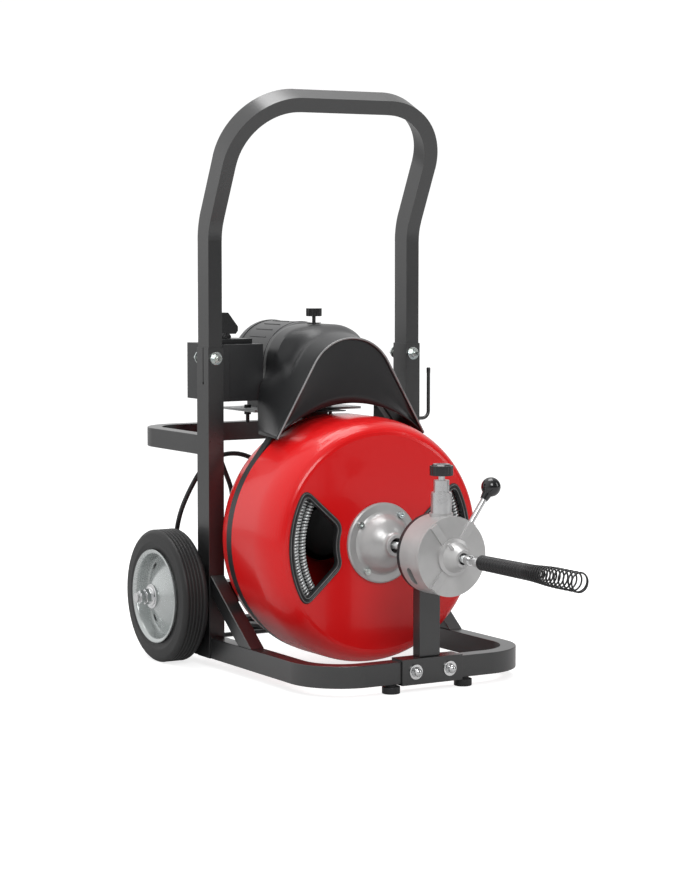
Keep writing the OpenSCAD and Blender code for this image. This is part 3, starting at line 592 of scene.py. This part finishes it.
def make_guard():
    """A shell lofted from the front edge, over a hollow on each shoulder, to the dome over the belt."""
    front, hood, dome = guard_outlines()
    bm = bmesh.new()
    columns = []
    centre = Vector((0, 440))
    start = GUARD_FRONT + 6
    for k in range(GUARD_COLUMNS + 1):
        t = k / GUARD_COLUMNS
        mirror = min(t, 1 - t)
        f, h, d = along(front, t), along(hood, t), along(dome, t)
        inward = (centre - f).normalized()
        upper = smooth_step((mirror - 0.16) / 0.07)
        end = GUARD_SIDE_END + (GUARD_CREASE - GUARD_SIDE_END) * upper
        back = GUARD_SIDE_END + 1.5 + (GUARD_BACK - GUARD_SIDE_END - 1.5) * upper
        hollow = 10 * smooth_step((mirror - 0.2) / 0.08) * smooth_step((0.45 - mirror) / 0.14)
        column = [(-109.6, f + inward * 3.2), (-112.6, f + inward * 2.6), (-114.0, f + inward * 0.6),
                  (-113.4, f - inward * 1.2), (-111.6, f - inward * 1.8), (-109.0, f - inward * 0.5)]
        for i in range(GUARD_BODY_ROWS + 1):
            share = i / GUARD_BODY_ROWS
            y = start + (end - start) * share
            place = f.lerp(h, (y - GUARD_FRONT) / (GUARD_SIDE_END - GUARD_FRONT))
            press = smooth_step((share - 0.45) / 0.5)
            place = place.lerp(d, upper * press)
            dip = math.sin(math.pi * max(0.0, (share - 0.42) / 0.58))
            column.append((y, place + (centre - place).normalized() * (hollow * dip)))
        for i in range(1, GUARD_BACK_ROWS + 1):
            column.append((end + (back - end) * i / GUARD_BACK_ROWS, h.lerp(d, upper)))
        columns.append([bm.verts.new(at(p.x, y, p.y)) for y, p in column])
    rows = list(zip(*columns))
    join_rows(bm, rows, closed=False)
    first = rows[0]
    lip = []
    for k in range(GUARD_COLUMNS + 1):
        a = math.radians(LIP_START - LIP_SWEEP * k / GUARD_COLUMNS)
        lip.append(at(GUARD_CLEAR * math.cos(a), -109.6, AXIS_Z + GUARD_CLEAR * math.sin(a)))
    face = [first]
    for i in range(1, GUARD_LIP_ROWS + 1):
        share = i / GUARD_LIP_ROWS
        dish = Vector((0, 2.4 * MM * math.sin(math.pi * share), 0))
        face.append([bm.verts.new(a.co.lerp(b, share) + dish) for a, b in zip(first, lip)])
    join_rows(bm, face[::-1], closed=False)
    ob = place_mesh(bm, "guard_shell", "belt_guard", angle=28)
    solid = ob.modifiers.new("wall", "SOLIDIFY")
    solid.thickness = 2.6 * MM
    solid.offset = -1
    # A lighter tube along the guard's front edge: a painted highlight where the rolled edge catches the
    # light.
    edge = [at(p.x, -113.2, p.y) for p in (along(front, k / 90) for k in range(91))]
    curve_piece("guard_worn_edge", [edge], 1.5, "belt_guard", replaces=[], mat=PAINTED_EDGE_HIGHLIGHT, sides=3)


make_guard()


# ---------------------------------------------------------------- wheels
WHEEL_X = WHEEL_LOW.x / MM
TYRE_W = (WHEEL_HIGH.x - WHEEL_LOW.x) / MM
GROOVES = (13.2, 19, 25, 31, 36.8)


def make_tyre(matrix, name):
    """A solid tyre with five grooves round its tread, drawn from its inner face."""
    bm = bmesh.new()
    profile = [(73, 4.5), (76, 3.2), (86, 2)] + arc(WHEEL_R - 9, 9, 9, -80, -6, 8, 8)
    for groove in GROOVES:
        profile += [(WHEEL_R - drop, groove - half) for drop, half in ((0.2, 1.9), (0.5, 1.3), (2.0, 0.6))]
        profile += [(WHEEL_R - drop, groove + half) for drop, half in ((2.0, 0.6), (0.5, 1.3), (0.2, 1.9))]
    profile += arc(WHEEL_R - 9, TYRE_W - 9, 9, 6, 80, 8, 8)
    profile += [(r, TYRE_W - inset) for r, inset in
                ((90, 1.6), (88.5, 1.2), (87, 1.6), (79, 2.6), (76, 3.2), (73, 4.5))]
    profile.append((73, 4.5))
    lathe(bm, profile, matrix, 160)
    place_mesh(bm, "ribbed_" + name, name, angle=42)


def make_rim(matrix, name):
    """A pressed dish with a rolled edge and a hub, and four dark lenses on the dish where it meets its wall,
    painted shade standing for the slots' openings.
    """
    bm = bmesh.new()
    outer = [(8.1, 52), (17.4, 52), (18, 51.4), (18, 48.4), (19.5, 47), (24, 45), (32, 41), (44, 33.4),
             (54, 27), (60, 24.3), (64, 23.2), (66.8, 23.6), (68.4, 25.6), (69, 30), (69.2, 40), (69.6, 45.4),
             (70.6, 47.2), (72.6, 48.3), (74.6, 49.3), (76.2, 49.4), (76.9, 48.4), (76.2, 47.4), (74.6, 47.2),
             (73.2, 46)]
    inner = [(72.8, 4.6), (74.6, 2.8), (76.4, 2.4), (76.9, 1.4), (76.2, 0.7), (74.4, 0.8), (71.6, 2.2),
             (70, 4), (69, 8), (67, 15), (56, 21), (40, 24.4), (18, 21.5), (18, -1.2), (17.6, -1.4),
             (8.1, -1.4), (8.1, 52)]
    lathe(bm, outer + inner, matrix, 128)
    place_mesh(bm, "pressed_" + name, name, angle=34)
    # No holes are cut: each slot is a dark lens on the dish, painted shade for the opening.
    bm = bmesh.new()
    slot_r, slot_depth = 60.5, 24.6
    slot = [(0.0, -1.2), (3.4, -1.2), (3.7, 0.35), (3.0, 0.6), (0.0, -0.15)]
    for quarter in range(4):
        a = TAU * (quarter + 0.5) / 4
        centre = Matrix.Translation(matrix @ turned(slot_r, a, slot_depth))
        aim = matrix.to_3x3().to_4x4() @ Matrix.Rotation(a, 4, "Z")
        lathe(bm, slot, centre @ aim @ Matrix.Diagonal((0.75, 1.9, 1, 1)), 20)
    place_mesh(bm, "slots_" + name, name, mats=[M["dark_steel"]], replaces=[])


for side, name in ((1, "right"), (-1, "left")):
    wheel_place = basis(at(side * WHEEL_X, AXLE_Y, WHEEL_R), (side, 0, 0))
    make_tyre(wheel_place, "tyre_" + name)
    make_rim(wheel_place, "rim_" + name)


# ---------------------------------------------------------------- rod ends and small details
def make_axle_ends():
    """On both sides a broad washer, a flanged nut and a second nut, on the axle's threaded end."""
    bore = 8.1
    nuts, threads = bmesh.new(), bmesh.new()
    for side in (1, -1):
        place = basis(at(side * 257.4, AXLE_Y, WHEEL_R), (side, 0, 0))
        washer = [(bore, 0), (19.4, 0), (20, 0.6), (20, 2.0), (19.4, 2.6), (bore, 2.6), (bore, 0)]
        flange = [(bore, 2.6), (15.4, 2.6), (16, 3.2), (15.4, 4.2), (13, 5), (bore, 5), (bore, 2.6)]
        lathe(nuts, washer, place, 48)
        lathe(nuts, flange, place, 48)
        nut(nuts, place @ Matrix.Translation((0, 0, 4.6 * MM)), 11.2, 9.5, 8.0)
        nut(nuts, place @ Matrix.Translation((0, 0, 15.6 * MM)), 9.6, 8, 8.0)
        start = basis(at(side * 257, AXLE_Y, WHEEL_R), (side, 0, 0))
        thread(threads, start, 8.2, 0, 29.2, 1.75, 0.6, 32)
    place_mesh(nuts, "axle_end_nuts", "axle_nuts", angle=32, weighted=True)
    place_mesh(threads, "axle_end_threads", "axle", mats=[M["chrome_steel"]],
               replaces=[])


def bolt_threads(bm):
    """The threaded tips of the bolts through the posts."""
    for x in (-POST_X, POST_X):
        thread(bm, basis(at(x, -10, 501), (0, -1, 0)), 4.1, 0, 4, 1.0, 0.45, 24)


def motor_details(bm):
    """A seam ring, four cover screws, and a row of pressed cooling lines along the top."""
    z, r, screw_r = 485, 71, 63
    lathe(bm, [(r - 1, 0), (r + 0.6, 0.3), (r + 0.9, 1.4), (r + 0.6, 2.5), (r - 1, 2.8)],
          basis(at(0, 52, z), (0, 1, 0)), 96)
    for a in (40, 140, 200, 340):
        across = Vector((math.cos(math.radians(a)), 0, math.sin(math.radians(a))))
        place = basis(at(0, 33.5, z) + across * screw_r * MM, (0, -1, 0))
        lathe(bm, [(0.0, 3.4), (1.4, 3.3), (2.9, 2.7), (3.6, 1.4), (3.8, 0), (3.8, -4)], place, 24)
    for a in (98, 112, 126, 140):
        across = Vector((math.cos(math.radians(a)), 0, math.sin(math.radians(a))))
        line = basis(at(0, 74, z) + across * (r + 0.1) * MM, (0, 1, 0))
        lathe(bm, [(0.0, 0), (0.9, 0.4), (0.9, 53.6), (0.0, 54)], line, 10)


def hook_tip(bm):
    """The hook's rounded end cap."""
    low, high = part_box("cord_hook")
    place = Matrix.Translation((high.x - 3 * MM, (low.y + high.y) / 2, high.z - 0.2 * MM))
    lathe(bm, [(3.3, -9), (3.4, -1.4), (2.9, -0.3), (1.8, 0.1), (0.0, 0.2)], place, 24)


# ---------------------------------------------------------------- softened CAD nodes
EXTRA = {"handle_bolts": bolt_threads, "motor_body": motor_details, "cord_hook": hook_tip}
EDGE_WIDTHS = {
    "base_loop": 1.6, "rear_loop": 1.6, "posts": 0.7, "handle": 1.4, "braces": 1.5, "front_post": 1.2,
    "front_sleeve": 1.0, "support_frame": 1.2, "axle_brackets": 1.2, "switch_box": 1.0, "switch_plate": 1.2,
    "switch_lever": 1.6, "motor_plate": 0.5, "bearing_housing": 0.6, "guide_body": 0.8, "guide_cap": 0.7,
    "guide_backplate": 0.8, "drum_hub": 0.5, "tension_bush": 0.4, "guard_knob": 1.0, "tension_knob": 0.5,
    "motor_body": 0.8, "motor_cap": 0.6, "cord_gland": 0.5, "cable_coupling": 0.4, "handle_bolts": 0.5,
    "sleeve_bolts": 0.5, "hub_screws": 0.4, "motor_bolts": 0.4, "feet": 1.0, "cord_hook": 0.3,
    "guard_post": 0.4,
}
for node, width in EDGE_WIDTHS.items():
    soften(node, width, add=EXTRA.get(node))
make_axle_ends()

for node, ob in frame["nodes"].items():
    if not ob.hide_render:
        ob.data.materials.clear()
        ob.data.materials.append(M[SLOT_OF[node]])
for name, mat in (("motor_plate_look", ALU_PLATE), ("lever_rod", M["steel"])):
    ob = bpy.data.objects[name]
    ob.data.materials.clear()
    ob.data.materials.append(mat)


# ---------------------------------------------------------------- stage
def make_stage():
    """A pale floor, a sky that is brighter behind on the left, and three lamps."""
    mesh = bpy.data.meshes.new("floor")
    bm = bmesh.new()
    bmesh.ops.create_grid(bm, x_segments=1, y_segments=1, size=40)
    bm.to_mesh(mesh)
    bm.free()
    floor = bpy.data.objects.new("floor", mesh)
    bpy.context.scene.collection.objects.link(floor)
    mat = material("pale_floor", (0.5, 0.5, 0.5), (0.51, 0.51, 0.51), rough=(0.8, 0.9), patch=0.5, grain=20,
                   bump=0.0, specular=0.0)
    tree = mat.node_tree
    shader = tree.nodes["Principled BSDF"]
    shader.inputs["Emission Color"].default_value = (1, 1, 1, 1)
    seen = tree.nodes.new("ShaderNodeLightPath")
    glow = tree.nodes.new("ShaderNodeMapRange")
    glow.inputs["To Min"].default_value = 0.12
    glow.inputs["To Max"].default_value = 0.78
    tree.links.new(seen.outputs["Is Camera Ray"], glow.inputs["Value"])
    tree.links.new(glow.outputs["Result"], shader.inputs["Emission Strength"])
    mesh.materials.append(mat)

    world = bpy.data.worlds.new("studio")
    bpy.context.scene.world = world
    world.use_nodes = True
    tree = world.node_tree
    link = tree.links.new
    back = tree.nodes["Background"]
    place = tree.nodes.new("ShaderNodeTexCoord")
    aim = tree.nodes.new("ShaderNodeVectorMath")
    aim.operation = "DOT_PRODUCT"
    link(place.outputs["Generated"], aim.inputs[0])
    aim.inputs[1].default_value = Vector((-0.5, 0.75, 0.42)).normalized()
    ramp = tree.nodes.new("ShaderNodeMapRange")
    ramp.interpolation_type = "SMOOTHSTEP"
    ramp.inputs["From Min"].default_value = -0.45
    ramp.inputs["From Max"].default_value = 0.8
    ramp.inputs["To Min"].default_value = 0.08
    ramp.inputs["To Max"].default_value = 1.08
    link(aim.outputs["Value"], ramp.inputs["Value"])
    path = tree.nodes.new("ShaderNodeLightPath")
    mix = tree.nodes.new("ShaderNodeMix")
    link(path.outputs["Is Camera Ray"], mix.inputs[0])
    link(ramp.outputs["Result"], mix.inputs[2])
    mix.inputs[3].default_value = 1.05
    link(mix.outputs[0], back.inputs["Strength"])
    back.inputs["Color"].default_value = (1, 1, 1, 1)

    def area(name, place, target, size, power, size_y=None):
        data = bpy.data.lights.new(name, "AREA")
        data.energy = power
        data.size = size
        data.shape = "RECTANGLE"
        data.size_y = size_y or size
        lamp = bpy.data.objects.new(name, data)
        lamp.location = place
        lamp.rotation_euler = (Vector(target) - Vector(place)).to_track_quat("-Z", "Y").to_euler()
        bpy.context.scene.collection.objects.link(lamp)

    area("key", (-1.1, -3.1, 2.5), (0, 0, 0.4), 1.5, 62)
    area("top", (0.2, 0.5, 3.2), (0, 0, 0.4), 1.8, 55)
    area("fill", (2.6, -2.0, 1.6), (0, 0, 0.3), 0.9, 19, 2.0)
    settings = bpy.context.scene.view_settings
    settings.view_transform = "Standard"
    settings.look = "None"


make_stage()
